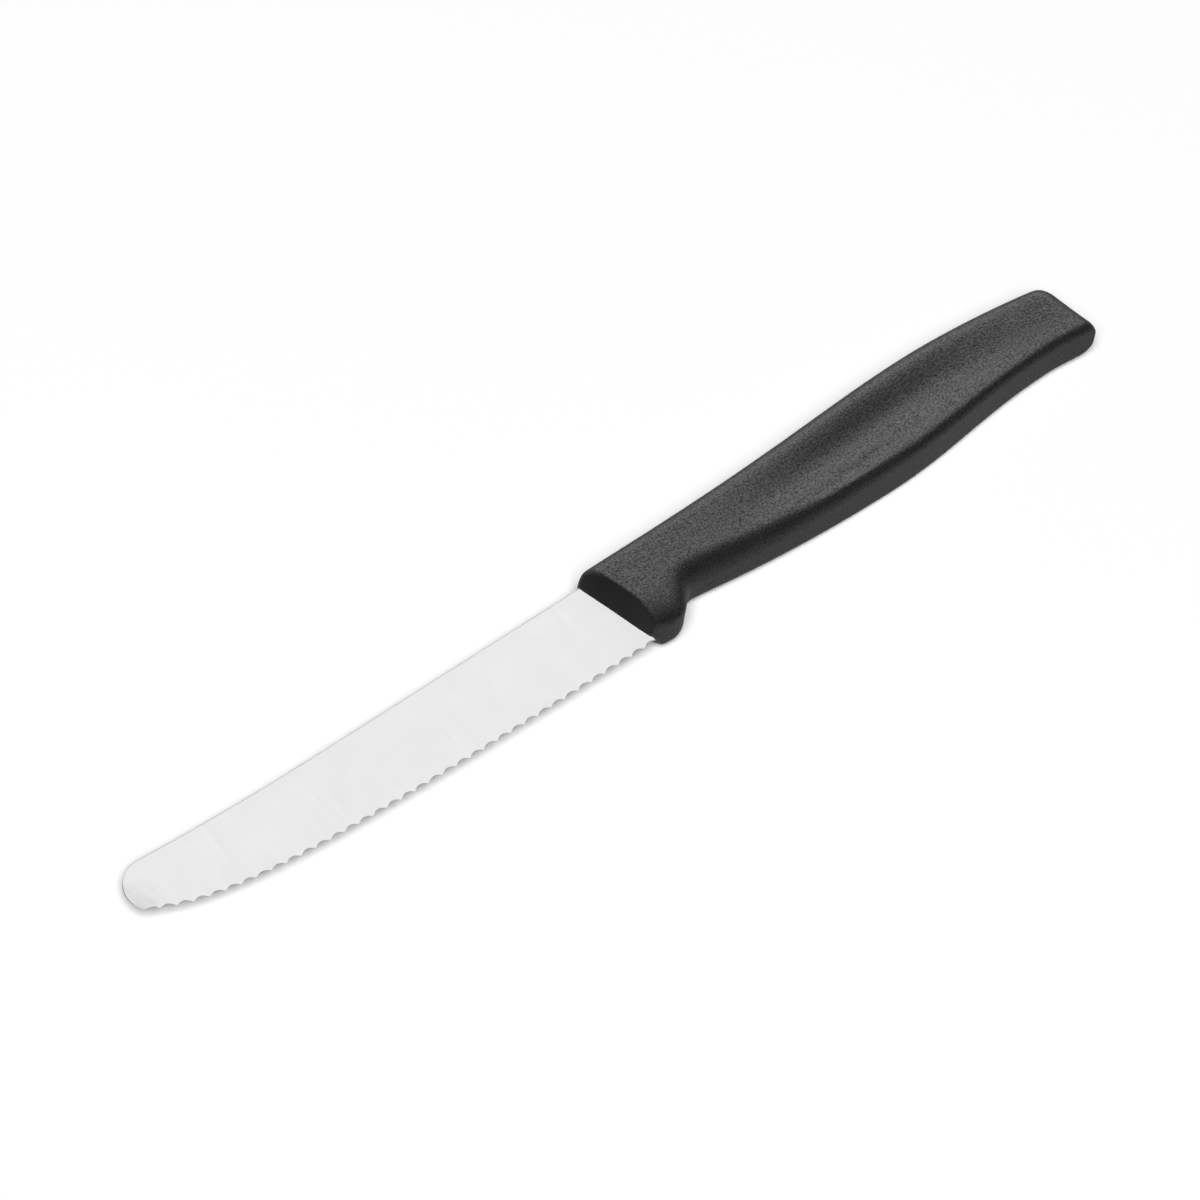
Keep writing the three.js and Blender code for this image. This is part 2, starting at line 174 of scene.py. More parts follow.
# Slanted grinding lines on the tip, in a painted shade that darkens the steel near the tip's lower side as a
# ground facet would
TIP_LINES = (0.2 * MM, 5 * MM, 5 * MM)
TIP_LINES_AT = 205  # degrees round the tip
TIP_LINES_TURN = 15  # degrees from straight across
TIP_LINES_REACH = 6.5 * MM
# dark tint of the grinding lines and of the painted shade near the tip
TIP_LINES_AND_SHADE_COLOUR = (0.6, 0.605, 0.61, 1)

# Finish of the plastic
PLASTIC_DARK = (0.007, 0.007, 0.0071, 1)
PLASTIC_LIGHT = (0.011, 0.011, 0.0112, 1)
PLASTIC_CLOUD = 6 * MM
PLASTIC_ROUGHNESS = 0.42
PLASTIC_IOR = 1.58
GRAIN_SIZE = 0.37 * MM
GRAIN_DEPTH = 0.08 * MM
GRAIN_DULL, GRAIN_GLOSSY = 0.18, 1.02

# Smooth front face of the grained handle
FRONT_TURN = math.atan(FRONT_SLOPE)
FRONT_TILT = math.radians(17)
FRONT_FACING = (
    -math.cos(FRONT_TURN) * math.cos(FRONT_TILT),
    -math.sin(FRONT_TURN) * math.cos(FRONT_TILT),
    math.sin(FRONT_TILT),
)
FRONT_FADE, FRONT_SMOOTH = 0.88, 0.955  # how squarely a place faces that way where the grain fades and ends
FRONT_GLOSS = 0.3

# How finely the skins are divided
TIP_STEPS = 44
SCALLOP_STEPS = 8
RIM_STEPS = 4
SIDE_SHARES = (1, 0.8, 0.62, 0.48, 0.36, 0.25, 0.16, 0.08)
RING_SPACING = 0.8 * MM
END_RINGS = 10
FACE_RINGS = 6
NOSE_FILL, BUTT_FILL = 0.97, 0.95  # how much of an end face these rings cover
CORNER_STEPS = 10
FACE_STEPS = 36
WALL_STEPS = 6
CURVE_STEPS = 60
EDGE_CURVE_STEPS = 360
MERGE_DISTANCE = 0.0005 * MM

# Camera, found from the photograph
LENS = 261.91
SENSOR = 36
CAMERA_AZIMUTH = -47.535
CAMERA_ELEVATION = 57.07
CAMERA_ROLL = 10.12
CAMERA_DISTANCE = 1567.6 * MM
CAMERA_TARGET = (2.01 * MM, -3.985 * MM)  # where it looks in the blade's middle plane

# Studio, in metres
FLOOR_HALF = 4.0
FLOOR_COLOUR = (0.98, 0.98, 0.98, 1)
FLOOR_IN_GLOSS = 0.36  # how bright the knife's own reflections see it
FLOOR_LIFT = 0.06  # brings the lit floor up to white
LAMP_SIZE = 4.2
LAMP_PLACE = (-2.52, -2.3, 7.25)
LAMP_LIGHT = 1.05  # of what it takes to show a colour as it is written
SKY_AXIS = (0.4, 0.62, 0.67)  # the bright side of the room
SKY_DIM, SKY_FULL = 0.6, 0.97  # along that axis
SKY_HIGH = 1.43
WALL_AXIS = (0, 1, 0)  # the paler wall behind the spine
WALL_DIM, WALL_FULL = -0.1, 0.9
WALL_HIGH = 0.31
SKY_LOW = 0.125  # everywhere else

# Where the knife's own measuring point lies in the frame
blade_low, blade_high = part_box("blade")
handle_low, handle_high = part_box("handle")
ORIGIN = Vector((
    blade_low.x + BLADE_LENGTH,
    blade_high.y - SPINE_RISE,
    (handle_low.z + handle_high.z) / 2,
))


def lerp(a, b, share):
    return a + (b - a) * share


def smoothstep(x, low, high):
    share = min(1, max(0, (x - low) / (high - low)))
    return share * share * (3 - 2 * share)


def arch(share):
    """A low arch over a stretch: 0 at both its ends, 1 in its middle."""
    return 4 * share * (1 - share)


def point_from(centre, distance, degrees):
    angle = math.radians(degrees)
    return centre + distance * Vector((math.cos(angle), math.sin(angle)))


def front_at(height):
    """The handle's front line at a height, in the middle plane."""
    return (SPINE_FRONT_HEIGHT - height) * FRONT_SLOPE


def walk_along(points):
    """A polyline's length, and a function from a distance along it to a point and a direction."""
    marks = [0]
    for a, b in zip(points, points[1:]):
        marks.append(marks[-1] + (b - a).length)

    def at(distance):
        step = min(len(points) - 2, max(0, bisect.bisect_right(marks, distance) - 1))
        a, b = points[step], points[step + 1]
        share = (distance - marks[step]) / (marks[step + 1] - marks[step])
        return a.lerp(b, share), (b - a).normalized()

    return marks[-1], at


def grid_skin(lines, closed):
    """A mesh from one grid whose rows are the given lines of points, and the faces that fill its ends."""
    count = len(lines[0])
    mesh = bmesh.new()
    across = count if closed else count - 1
    bmesh.ops.create_grid(mesh, x_segments=len(lines) - 1, y_segments=across, size=1)
    mesh.verts.ensure_lookup_table()
    for index, vert in enumerate(mesh.verts):
        step, line = divmod(index, len(lines))
        vert.co = lines[line][step % count] + ORIGIN
    bmesh.ops.remove_doubles(mesh, verts=mesh.verts, dist=MERGE_DISTANCE)
    bmesh.ops.dissolve_degenerate(mesh, edges=mesh.edges, dist=MERGE_DISTANCE)
    filled = bmesh.ops.holes_fill(mesh, edges=[edge for edge in mesh.edges if edge.is_boundary])
    bmesh.ops.recalc_face_normals(mesh, faces=mesh.faces)
    return mesh, filled["faces"]


def finished_piece(name, mesh, node, material, sharp_degrees):
    """The object of a modelled mesh, in place of its CAD node."""
    data = bpy.data.meshes.new(name)
    for face in mesh.faces:
        face.smooth = True
    mesh.to_mesh(data)
    mesh.free()
    data.set_sharp_from_angle(angle=math.radians(sharp_degrees))
    data.materials.append(material)
    piece = bpy.data.objects.new(name, data)
    bpy.context.scene.collection.objects.link(piece)
    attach(piece, "root")
    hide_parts(node)
    return piece


# Blade

tip_centre = Vector((TIP_RADIUS - BLADE_LENGTH, SPINE_RISE - TIP_RADIUS))


def half_thickness(height):
    """Half the ground blade's thickness at a height."""
    return lerp(STOCK_THICKNESS, EDGE_THICKNESS, -height / BLADE_WIDTH) / 2


def spine_path():
    """The spine from the tip's round to the heel: a curve that sweeps down, then straight."""
    join = point_from(tip_centre, TIP_RADIUS, 90 - SPINE_SWEEP)
    bend = (join.y - SPINE_LEVEL) / math.tan(math.radians(SPINE_SWEEP))
    level = Vector((join.x + 2 * bend, SPINE_LEVEL))
    corner = Vector((join.x + bend, SPINE_LEVEL))
    sweep = interpolate_bezier(join, join.lerp(corner, 2 / 3), level.lerp(corner, 2 / 3), level, CURVE_STEPS)
    heel = Vector((front_at(SPINE_LEVEL) + SPINE_SEAT, SPINE_LEVEL))
    return walk_along([*(Vector(point[:2]) for point in sweep), heel])


def edge_path():
    """The cutting edge's cusp line from the tip to the heel."""
    start = point_from(tip_centre, TIP_RADIUS, EDGE_START)
    heel = Vector((front_at(-BLADE_WIDTH), -BLADE_WIDTH))
    leave = point_from(start, EDGE_TIP_HANDLE, -EDGE_SLOPE)
    arrive = point_from(heel, EDGE_HEEL_HANDLE, 180)
    curve = interpolate_bezier(start, leave, arrive, heel, EDGE_CURVE_STEPS)
    return walk_along([*(Vector(point[:2]) for point in curve), heel + Vector((EDGE_SEAT, 0))])


def scallop_stations():
    """Each step along the serrated edge: its point, its inward direction and its blunt land."""
    length, at = edge_path()
    stations = []
    step = 0
    while True:
        scallop = step / SCALLOP_STEPS
        if scallop < 1:
            distance = scallop * FIRST_SCALLOP
        else:
            distance = FIRST_SCALLOP + (scallop - 1) * SCALLOP_PITCH
        if distance > length:
            return stations
        point, along = at(distance)
        inward = Vector((-along.y, along.x))
        part = scallop % 1
        hollow = arch(part)
        depth = SCALLOP_DEPTH * min(1, distance / SCALLOP_RUN_IN) * hollow
        stations.append((point + inward * depth, inward, lerp(EDGE_LAND, GULLET_LAND, hollow)))
        step += 1


def rolled_off(degrees):
    """How much of the roll-off there is at an angle round the tip."""
    middle = (ROLL_FROM + ROLL_TO) / 2
    reach = (ROLL_TO - ROLL_FROM) / 2
    return 1 - smoothstep(abs(degrees - middle), ROLL_FULL * reach, reach)


def blade_line(rim, middle, inward, ground=0, eased=1, roll=0, land=EDGE_LAND):
    """One line over the blade's skin: from the middle of its upper side round the rim to the lower one."""
    thick = half_thickness(rim.y)
    run = BEVEL_RUN * eased
    drop = min(BEVEL_DROP, ROUND_LIMIT * thick) * eased
    reach = (2 * thick - land) * ground / math.tan(math.radians(GULLET_ANGLE))
    line = []

    def put(point, z):
        line.append(Vector((point.x, point.y, z)))

    def upper(point):
        near = max(0, 1 - (point - rim).length / ROLL_WIDTH)
        return half_thickness(point.y) - roll * ROLL_DEPTH * near ** 2

    top_start = rim + inward * run
    for share in SIDE_SHARES:
        point = top_start.lerp(middle, share)
        put(point, upper(point))
    for step in range(RIM_STEPS + 1):
        share = step / RIM_STEPS
        point = top_start.lerp(rim, share)
        put(point, upper(point) - drop * share)
    edge_z = upper(rim) - drop - land
    for step in range(RIM_STEPS + 1):
        share = step / RIM_STEPS
        plain_in = run * share
        plain_z = drop * (1 - share) - thick
        hollow = GULLET_HOLLOW * arch(share)
        ground_z = lerp(edge_z, -half_thickness(rim.y + inward.y * reach), share) + hollow
        point = rim + inward * lerp(plain_in, reach * share, ground)
        put(point, lerp(plain_z, ground_z, ground))
    low_start = rim + inward * lerp(run, reach, ground)
    for share in reversed(SIDE_SHARES):
        point = low_start.lerp(middle, share)
        put(point, -half_thickness(point.y))
    return line


def add_tang(mesh, heel):
    """The neck and the tang, drawn out of the heel's end face."""
    tang_top = TANG_WIDTH / 2 - TANG_DROP
    sections = (
        (None, -NECK_SPINE_INSET, NECK_EDGE_INSET - BLADE_WIDTH),
        (NECK_REACH, -NECK_SPINE_INSET, NECK_EDGE_INSET - BLADE_WIDTH),
        (NECK_REACH, tang_top, tang_top - TANG_WIDTH),
        (TANG_LENGTH, tang_top, tang_top - TANG_WIDTH),
    )
    high, low = 0, -BLADE_WIDTH
    for x, top, bottom in sections:
        drawn = bmesh.ops.extrude_discrete_faces(mesh, faces=heel)
        heel = drawn["faces"]
        for vert in heel[0].verts:
            share = (vert.co.y - ORIGIN.y - high) / (low - high)
            vert.co.y = ORIGIN.y + lerp(top, bottom, share)
            if x is not None:
                vert.co.x = ORIGIN.x + x
        high, low = top, bottom
    bmesh.ops.recalc_face_normals(mesh, faces=mesh.faces)


def make_blade(material):
    """One skin of lines round the spine, the tip and the edge, with the tang drawn out of its end."""
    stations = scallop_stations()
    spine_length, spine_point = spine_path()
    heel_middle = Vector((front_at(-BLADE_WIDTH / 2) + (SPINE_SEAT + EDGE_SEAT) / 2, -BLADE_WIDTH / 2))
    last = len(stations) - 1
    middles = [tip_centre.lerp(heel_middle, step / last) for step in range(last + 1)]
    lines = []
    for step in range(last, 0, -1):
        rim, along = spine_point(spine_length * step / last)
        lines.append(blade_line(rim, middles[step], Vector((along.y, -along.x))))
    for step in range(TIP_STEPS):
        degrees = lerp(90 - SPINE_SWEEP, EDGE_START, step / TIP_STEPS)
        rim = point_from(tip_centre, TIP_RADIUS, degrees)
        inward = (tip_centre - rim).normalized()
        ground = smoothstep(degrees, TIP_GRIND_FROM, EDGE_START)
        eased = 1 - smoothstep(degrees, BEVEL_FROM, BEVEL_TO)
        lines.append(blade_line(rim, tip_centre, inward, ground, eased, rolled_off(degrees)))
    for step, (rim, inward, land) in enumerate(stations):
        roll = rolled_off(EDGE_START + step * ROLL_STEP)
        lines.append(blade_line(rim, middles[step], inward, 1, 0, roll, land))
    mesh, heel = grid_skin(lines, closed=False)
    add_tang(mesh, heel)
    return finished_piece("knife_blade", mesh, "blade", material, BLADE_CREASE)


# Handle

def side_line(points):
    """A smooth curve that is level at each of its points, as a function of the distance along it.
    Each point is its place, its height and the shares of the stretches before and after it."""
    drawn = []
    for (from_x, from_y, _, leave), (to_x, to_y, arrive, _) in zip(points, points[1:]):
        drawn += interpolate_bezier(
            (from_x, from_y),
            (from_x + leave * (to_x - from_x), from_y),
            (to_x - arrive * (to_x - from_x), to_y),
            (to_x, to_y),
            CURVE_STEPS,
        )
    places = [point[0] for point in drawn]

    def height(x):
        step = min(len(drawn) - 1, max(1, bisect.bisect_left(places, x)))
        a, b = drawn[step - 1], drawn[step]
        return lerp(a[1], b[1], (x - a[0]) / (b[0] - a[0])) if b[0] > a[0] else b[1]

    return height


spine_at = side_line([
    (0, SPINE_FRONT_HEIGHT, 0, 0.4),
    (SPINE_LEVEL_TO, SPINE_FRONT_HEIGHT, 0.4, 0.55),
    (HUMP_AT, HUMP_HEIGHT, 0.28, 0.5),
    (SPINE_LENGTH, SPINE_END_HEIGHT, 0, 0),
])
belly_at = side_line([
    (GUARD_FRONT, -GUARD_FRONT_DEPTH, 0, 0.2),
    (GUARD_AT, -GUARD_DEPTH, 0.5, 0.5),
    (WAIST_AT, -WAIST_DEPTH, 0.42, 0.07),
    (PALM_AT, -PALM_DEPTH, 0.64, 0.4),
    (BUTT_AT - TAIL_REACH, -TAIL_DEPTH, 0.4, 0.4),
    (BUTT_AT, -BUTT_DEPTH, 0.4, 0),
])


def scoop_at(x, y):
    """How deep the scoop is at a place on the handle's side."""
    below = spine_at(min(SPINE_LENGTH, max(0, x))) - SCOOP_DROP - y
    across = 1 - smoothstep(abs(below), 0, SCOOP_RIM if below < 0 else SCOOP_RUNOUT)
    starts = smoothstep(x, SCOOP_FROM, SCOOP_DEEPEST)
    ends = 1 - smoothstep(x, SCOOP_DEEPEST, SCOOP_TO)
    fold = 1 - smoothstep(abs(below + SCOOP_DROP - FOLD_DROP), 0, FOLD_HALF_WIDTH)
    fold *= 1 - smoothstep(abs(x - FOLD_AT), 0, FOLD_REACH)
    return SCOOP_DEPTH * across * starts * ends + FOLD_DEPTH * fold


def lean_at(across, z):
    """How far the front face lies behind its foremost strip, at a share of its width and a height."""
    from_spine = smoothstep(across, 0, NOSE_SPINE_SHARE)
    to_guard = smoothstep(across, NOSE_GUARD_SHARE, 1)
    guard_lean, guard_bulge = NOSE_GUARD_LEAN, NOSE_BULGE
    if z < 0:
        guard_lean, guard_bulge = NOSE_UNDER_LEAN, NOSE_UNDER_BULGE
    reach = lerp(lerp(NOSE_SPINE_LEAN, NOSE_LEAN, from_spine), guard_lean, to_guard)
    bulge = lerp(lerp(NOSE_SPINE_BULGE, NOSE_BULGE, from_spine), guard_bulge, to_guard)
    return reach * (2 * abs(z) / HANDLE_THICKNESS) ** bulge


def sides_at(along):
    """The two ends of the slanted line across the handle at a distance along its spine."""
    belly_x = lerp(GUARD_FRONT, BUTT_AT, along / SPINE_LENGTH)
    return Vector((along, spine_at(along))), Vector((belly_x, belly_at(belly_x)))


def corner_inset(radius, distance):
    """How far a rounded corner draws an outline in, at a distance from the end that it rounds."""
    short = max(0, radius - distance)
    return radius - math.sqrt(radius ** 2 - short ** 2)


def handle_half(along):
    """Half the handle's thickness at a distance along its spine."""
    thin = smoothstep(along, TAPER_START, 2 * SPINE_LENGTH - TAPER_START) * 2
    return lerp(HANDLE_THICKNESS, BUTT_THICKNESS, thin) / 2


def handle_ring(along, rim, spine_inset, belly_inset, lean):
    """One cross-section: a rounded rectangle between the side lines, drawn in at rim, spine and belly."""
    spine, belly = sides_at(along)
    full = (belly - spine).length
    width = full - spine_inset - belly_inset
    half = handle_half(along) - rim
    most = ROUND_LIMIT * min(half, width / 2)
    near = min(SIDE_RADIUS, most)
    at_palm = smoothstep(along, BELLY_FROM, BELLY_TO)
    at_belly = smoothstep(along, GUARD_TO, BELLY_FROM)
    roll = lerp(lerp(GUARD_ROLL, BELLY_RADIUS, at_belly), PALM_RADIUS, at_palm)
    roll = min(roll, ROUND_LIMIT * (width - near))
    drop = lerp(lerp(GUARD_DROP, BELLY_RADIUS, at_belly), PALM_RADIUS, at_palm)
    drop = min(drop, ROUND_LIMIT * half)
    under = min(lerp(UNDER_RADIUS, PALM_RADIUS, at_palm), most)
    ring = []

    def put(across, z):
        share = (spine_inset + across) / full
        top, bottom = sides_at(min(SPINE_LENGTH, along + lean * lean_at(share, z)))
        at = top.lerp(bottom, share)
        hollow = max(0, 1 - scoop_at(at.x, at.y) / half)
        ring.append(Vector((at.x, at.y, z * hollow)))

    def corner(across, z, reach, height, start):
        for step in range(CORNER_STEPS + 1):
            angle = start + math.pi / 2 * step / CORNER_STEPS
            put(across - reach * math.cos(angle), z + height * math.sin(angle))

    def straight(from_across, from_z, to_across, to_z, steps):
        for step in range(1, steps):
            put(lerp(from_across, to_across, step / steps), lerp(from_z, to_z, step / steps))

    corner(near, half - near, near, near, 0)
    straight(near, half, width - roll, half, FACE_STEPS)
    corner(width - roll, half - drop, roll, drop, math.pi / 2)
    straight(width, half - drop, width, under - half, WALL_STEPS)
    corner(width - under, under - half, under, under, math.pi)
    straight(width - under, -half, near, -half, FACE_STEPS)
    corner(near, near - half, near, near, 1.5 * math.pi)
    straight(0, near - half, 0, half - near, WALL_STEPS)
    return ring


def nose_ring(along, extra=0):
    """A cross-section near the front, drawn in by the front face's rounding and by an extra step."""
    lean = 1 - smoothstep(along, NOSE_RADIUS, NOSE_RUNOUT)
    return handle_ring(
        along - NOSE_AHEAD,
        corner_inset(NOSE_RIM, along) + extra,
        corner_inset(NOSE_RADIUS, along) * NOSE_SPREAD + extra,
        corner_inset(GUARD_CORNER, along) + extra,
        lean,
    )


def butt_ring(end, extra=0):
    """A cross-section near the butt, drawn in by its rounded rim and corners and by an extra step."""
    return handle_ring(
        SPINE_LENGTH - end,
        corner_inset(BUTT_RADIUS, end) + extra,
        corner_inset(BUTT_SPINE_CORNER, end) + extra,
        corner_inset(BUTT_BELLY_CORNER, end) + extra,
        0,
    )


def make_handle(material):
    """One skin of cross-sections from the middle of the front face to the middle of the butt."""
    nose_reach = NOSE_FILL * (HANDLE_THICKNESS / 2 - NOSE_RIM)
    butt_reach = BUTT_FILL * (BUTT_THICKNESS / 2 - BUTT_RADIUS)
    rings = []
    for step in range(FACE_RINGS, 0, -1):
        rings.append(nose_ring(0, step / FACE_RINGS * nose_reach))
    for step in range(END_RINGS):
        rings.append(nose_ring(NOSE_RADIUS * (1 - math.cos(math.pi / 2 * step / END_RINGS))))
    first, last = NOSE_RADIUS, SPINE_LENGTH - BUTT_RADIUS
    count = round((last - first) / RING_SPACING)
    for step in range(count):
        rings.append(nose_ring(lerp(first, last, step / count)))
    for step in range(END_RINGS + 1):
        rings.append(butt_ring(BUTT_RADIUS * (1 - math.sin(math.pi / 2 * step / END_RINGS))))
    for step in range(1, FACE_RINGS + 1):
        rings.append(butt_ring(0, step / FACE_RINGS * butt_reach))
    mesh, _ = grid_skin(rings, closed=True)
    handle = finished_piece("knife_handle", mesh, "handle", material, HANDLE_CREASE)
    # The satin steel shows no image of it
    handle.visible_glossy = False
    return handle


# Finishes

def new_material(name):
    material = bpy.data.materials.new(name)
    material.use_nodes = True
    nodes, links = material.node_tree.nodes, material.node_tree.links
    return material, nodes, links, nodes["Principled BSDF"]


def stretched_noise(nodes, links, sizes, detail=2.0, turn=0.0):
    """Noise whose features have the given size along each axis."""
    where = nodes.new("ShaderNodeTexCoord")
    place = nodes.new("ShaderNodeMapping")
    place.vector_type = "TEXTURE"
    place.inputs["Scale"].default_value = sizes
    place.inputs["Rotation"].default_value = (0, 0, math.radians(turn))
    noise = nodes.new("ShaderNodeTexNoise")
    noise.inputs["Scale"].default_value = 1
    noise.inputs["Detail"].default_value = detail
    links.new(where.outputs["Object"], place.inputs["Vector"])
    links.new(place.outputs["Vector"], noise.inputs["Vector"])
    return noise.outputs["Fac"]


def ranged(nodes, links, value, low, high, from_low=0.3, from_high=0.7):
    """A value spread over another range. Without bounds of its own it is noise, which is mostly near 0.5."""
    spread = nodes.new("ShaderNodeMapRange")
    spread.inputs["From Min"].default_value = from_low
    spread.inputs["From Max"].default_value = from_high
    spread.inputs["To Min"].default_value = low
    spread.inputs["To Max"].default_value = high
    links.new(value, spread.inputs["Value"])
    return spread.outputs["Result"]


def bumped(nodes, links, height, depth, strength=None):
    """Normals of a surface with a fine relief."""
    bump = nodes.new("ShaderNodeBump")
    bump.inputs["Strength"].default_value = 1
    bump.inputs["Distance"].default_value = depth
    links.new(height, bump.inputs["Height"])
    if strength:
        links.new(strength, bump.inputs["Strength"])
    return bump.outputs["Normal"]


def tinted(nodes, links, value, dark, light):
    """A colour between two tints."""
    mix = nodes.new("ShaderNodeMix")
    mix.data_type = "RGBA"
    mix.inputs["A"].default_value = dark
    mix.inputs["B"].default_value = light
    links.new(value, mix.inputs["Factor"])
    return mix.outputs["Result"]


def moulded_plastic():
    """Black polypropylene with a fine moulded grain."""
    material, nodes, links, shader = new_material("moulded_plastic")
    grain = stretched_noise(nodes, links, (GRAIN_SIZE,) * 3)
    cloud = stretched_noise(nodes, links, (PLASTIC_CLOUD,) * 3)
    links.new(tinted(nodes, links, cloud, PLASTIC_DARK, PLASTIC_LIGHT), shader.inputs["Base Color"])
    where = nodes.new("ShaderNodeTexCoord")
    facing = nodes.new("ShaderNodeVectorMath")
    facing.operation = "DOT_PRODUCT"
    facing.inputs[1].default_value = FRONT_FACING
    links.new(where.outputs["Normal"], facing.inputs[0])
    grained = ranged(nodes, links, facing.outputs["Value"], 1, 0, FRONT_FADE, FRONT_SMOOTH)
    gloss = nodes.new("ShaderNodeMix")
    gloss.inputs["A"].default_value = FRONT_GLOSS
    links.new(grained, gloss.inputs["Factor"])
    links.new(ranged(nodes, links, grain, GRAIN_DULL, GRAIN_GLOSSY), gloss.inputs["B"])
    links.new(gloss.outputs["Result"], shader.inputs["Specular IOR Level"])
    shader.inputs["Roughness"].default_value = PLASTIC_ROUGHNESS
    shader.inputs["IOR"].default_value = PLASTIC_IOR
    links.new(bumped(nodes, links, grain, GRAIN_DEPTH, grained), shader.inputs["Normal"])
    return material


def satin_steel():
    """Stainless steel, ground across the blade to a fine satin, with painted shade and grinding lines
    darkening the tip.
    """
    material, nodes, links, shader = new_material("satin_steel")
    lines = stretched_noise(nodes, links, STEEL_LINES, detail=3)
    cloud = stretched_noise(nodes, links, STEEL_CLOUDS)
    both = nodes.new("ShaderNodeMix")
    both.inputs["Factor"].default_value = STEEL_CLOUD_SHARE
    links.new(lines, both.inputs["A"])
    links.new(cloud, both.inputs["B"])
    satin = tinted(nodes, links, both.outputs["Result"], STEEL_DARK, STEEL_LIGHT)
    where = nodes.new("ShaderNodeTexCoord")
    away = nodes.new("ShaderNodeVectorMath")
    away.operation = "DISTANCE"
    away.inputs[1].default_value = Vector((*point_from(tip_centre, TIP_RADIUS, TIP_LINES_AT), 0)) + ORIGIN
    links.new(where.outputs["Object"], away.inputs[0])
    near = ranged(nodes, links, away.outputs["Value"], 1, 0, 0, TIP_LINES_REACH)
    scratches = stretched_noise(nodes, links, TIP_LINES, turn=TIP_LINES_TURN)
    # painted shade near the tip, as of a ground facet, streaked by the grinding lines
    tip_lines_and_shade = nodes.new("ShaderNodeMath")
    tip_lines_and_shade.operation = "MULTIPLY"
    links.new(near, tip_lines_and_shade.inputs[0])
    links.new(ranged(nodes, links, scratches, 0, 1), tip_lines_and_shade.inputs[1])
    shaded = nodes.new("ShaderNodeMix")
    shaded.data_type = "RGBA"
    shaded.inputs["B"].default_value = TIP_LINES_AND_SHADE_COLOUR
    links.new(tip_lines_and_shade.outputs["Value"], shaded.inputs["Factor"])
    links.new(satin, shaded.inputs["A"])
    links.new(shaded.outputs["Result"], shader.inputs["Base Color"])
    shader.inputs["Metallic"].default_value = STEEL_METALLIC
    links.new(ranged(nodes, links, lines, STEEL_SMOOTH, STEEL_ROUGH), shader.inputs["Roughness"])
    links.new(bumped(nodes, links, lines, STEEL_LINES_DEPTH), shader.inputs["Normal"])
    return material


# Studio

def make_floor():
    """A white table that keeps the knife's shadow and looks dimmer in the knife's own reflections."""
    material = bpy.data.materials.new("white_table")
    material.use_nodes = True
    nodes, links = material.node_tree.nodes, material.node_tree.links
    nodes.remove(nodes["Principled BSDF"])
    matt = nodes.new("ShaderNodeBsdfDiffuse")
    lift = nodes.new("ShaderNodeEmission")
    path = nodes.new("ShaderNodeLightPath")
    links.new(
        tinted(nodes, links, path.outputs["Is Glossy Ray"], FLOOR_COLOUR, (0, 0, 0, 1)),
        matt.inputs["Color"],
    )
    links.new(
        ranged(nodes, links, path.outputs["Is Camera Ray"], 0, FLOOR_LIFT, 0, 1),
        lift.inputs["Strength"],
    )
    gloss = nodes.new("ShaderNodeEmission")
    links.new(
        ranged(nodes, links, path.outputs["Is Glossy Ray"], 0, FLOOR_IN_GLOSS, 0, 1),
        gloss.inputs["Strength"],
    )
    seen = nodes.new("ShaderNodeAddShader")
    links.new(lift.outputs["Emission"], seen.inputs[0])
    links.new(gloss.outputs["Emission"], seen.inputs[1])
    both = nodes.new("ShaderNodeAddShader")
    links.new(matt.outputs["BSDF"], both.inputs[0])
    links.new(seen.outputs["Shader"], both.inputs[1])
    links.new(both.outputs["Shader"], nodes["Material Output"].inputs["Surface"])
    mesh = bmesh.new()
    bmesh.ops.create_grid(mesh, x_segments=1, y_segments=1, size=FLOOR_HALF)
    data = bpy.data.meshes.new("table")
    mesh.to_mesh(data)
    mesh.free()
    data.materials.append(material)
    floor = bpy.data.objects.new("table", data)
    bpy.context.scene.collection.objects.link(floor)


def sky_lobe(nodes, links, axis, dim, full, low, high):
    """Light that rises softly from low to high towards an axis."""
    where = nodes.new("ShaderNodeTexCoord")
    facing = nodes.new("ShaderNodeVectorMath")
    facing.operation = "DOT_PRODUCT"
    facing.inputs[1].default_value = Vector(axis).normalized()
    links.new(where.outputs["Generated"], facing.inputs[0])
    soft = nodes.new("ShaderNodeMapRange")
    soft.interpolation_type = "SMOOTHSTEP"
    soft.inputs["From Min"].default_value = dim
    soft.inputs["From Max"].default_value = full
    soft.inputs["To Min"].default_value = low
    soft.inputs["To Max"].default_value = high
    links.new(facing.outputs["Value"], soft.inputs["Value"])
    return soft.outputs["Result"]


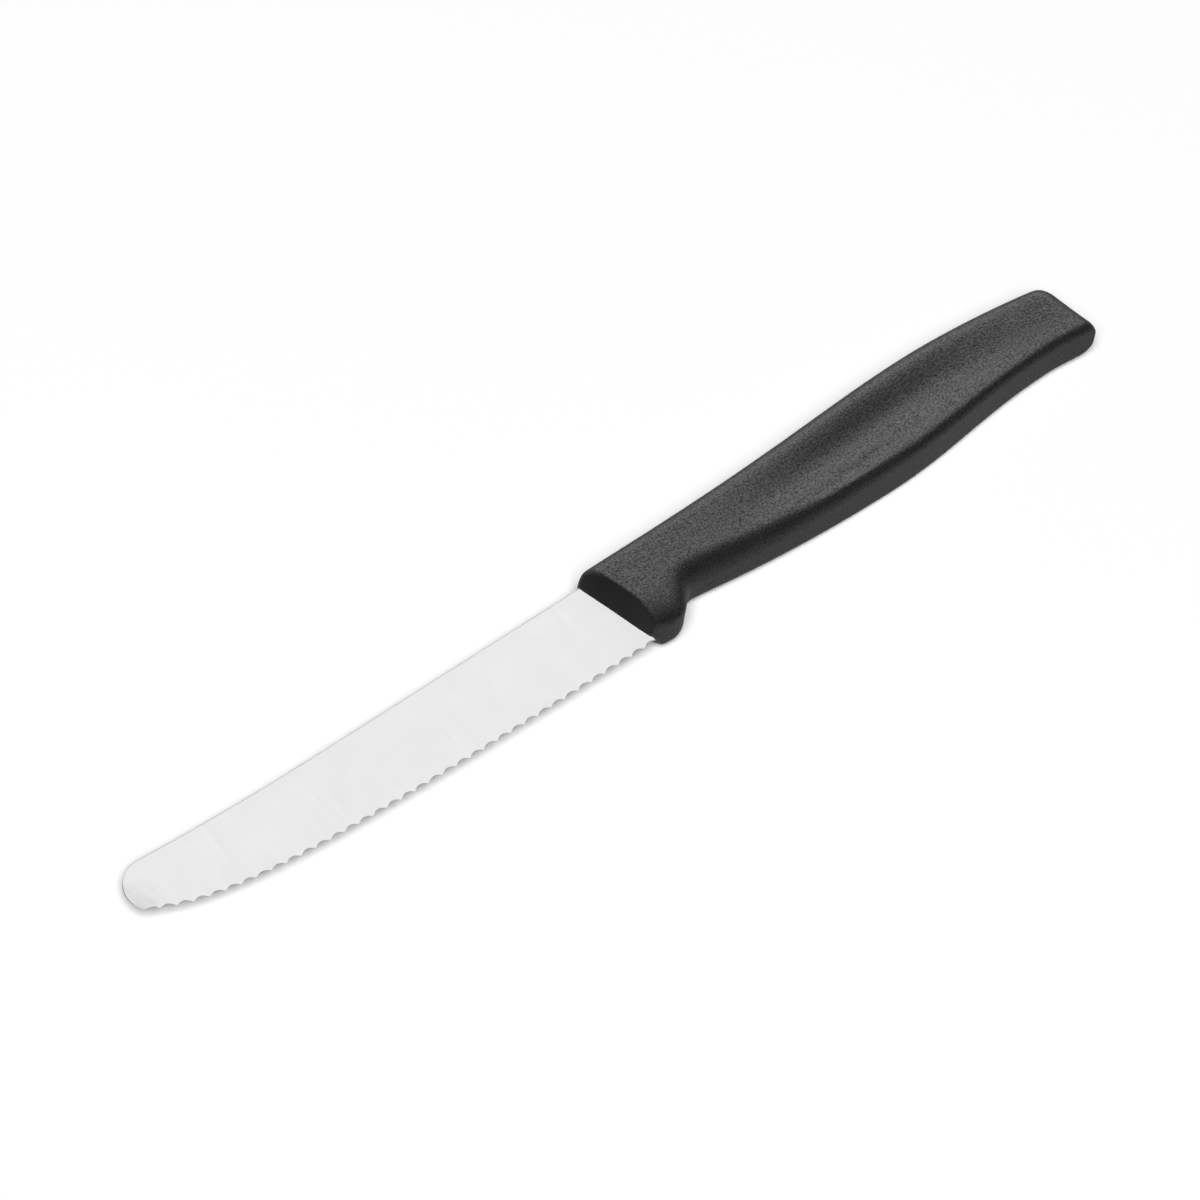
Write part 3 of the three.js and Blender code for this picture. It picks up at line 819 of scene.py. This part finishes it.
def make_sky():
    """A room that is bright on the knife's spine side and dim on the other. The camera sees white."""
    world = bpy.data.worlds.new("studio")
    world.use_nodes = True
    bpy.context.scene.world = world
    world.cycles_visibility.diffuse = False
    nodes, links = world.node_tree.nodes, world.node_tree.links
    bright = sky_lobe(nodes, links, SKY_AXIS, SKY_DIM, SKY_FULL, SKY_LOW, SKY_LOW + SKY_HIGH)
    wall = sky_lobe(nodes, links, WALL_AXIS, WALL_DIM, WALL_FULL, 0, WALL_HIGH)
    total = nodes.new("ShaderNodeMath")
    links.new(bright, total.inputs[0])
    links.new(wall, total.inputs[1])
    path = nodes.new("ShaderNodeLightPath")
    seen = nodes.new("ShaderNodeMix")
    seen.inputs["B"].default_value = 1
    links.new(path.outputs["Is Camera Ray"], seen.inputs["Factor"])
    links.new(total.outputs["Value"], seen.inputs["A"])
    links.new(seen.outputs["Result"], nodes["Background"].inputs["Strength"])
    nodes["Background"].inputs["Color"].default_value = (1, 1, 1, 1)


def make_lamp():
    """A softbox just over the line of sight, so that the knife's shadow on the table stays close to it."""
    data = bpy.data.lights.new("softbox", "AREA")
    data.size = LAMP_SIZE
    place = Vector(LAMP_PLACE)
    # The power that lights white paper under it to a level of 1, times the share that is wanted
    data.energy = LAMP_LIGHT * math.pi ** 2 * place.length ** 3 / place.z
    lamp = bpy.data.objects.new("softbox", data)
    lamp.location = place
    lamp.rotation_euler = place.to_track_quat("Z", "Y").to_euler()
    lamp.visible_camera = False
    lamp.visible_glossy = False
    bpy.context.scene.collection.objects.link(lamp)


def make_camera():
    turn = (
        Matrix.Rotation(math.radians(CAMERA_AZIMUTH), 4, "Z")
        @ Matrix.Rotation(math.radians(90 - CAMERA_ELEVATION), 4, "X")
        @ Matrix.Rotation(math.radians(CAMERA_ROLL), 4, "Z")
    )
    target = ORIGIN + Vector((*CAMERA_TARGET, 0))
    data = bpy.data.cameras.new("camera")
    data.lens = LENS
    data.sensor_width = SENSOR
    camera = bpy.data.objects.new("camera", data)
    camera.matrix_world = Matrix.Translation(target) @ turn @ Matrix.Translation((0, 0, CAMERA_DISTANCE))
    bpy.context.scene.collection.objects.link(camera)
    bpy.context.scene.camera = camera


make_camera()
make_blade(satin_steel())
make_handle(moulded_plastic())
make_floor()
make_lamp()
make_sky()
bpy.context.scene.view_settings.view_transform = "Standard"
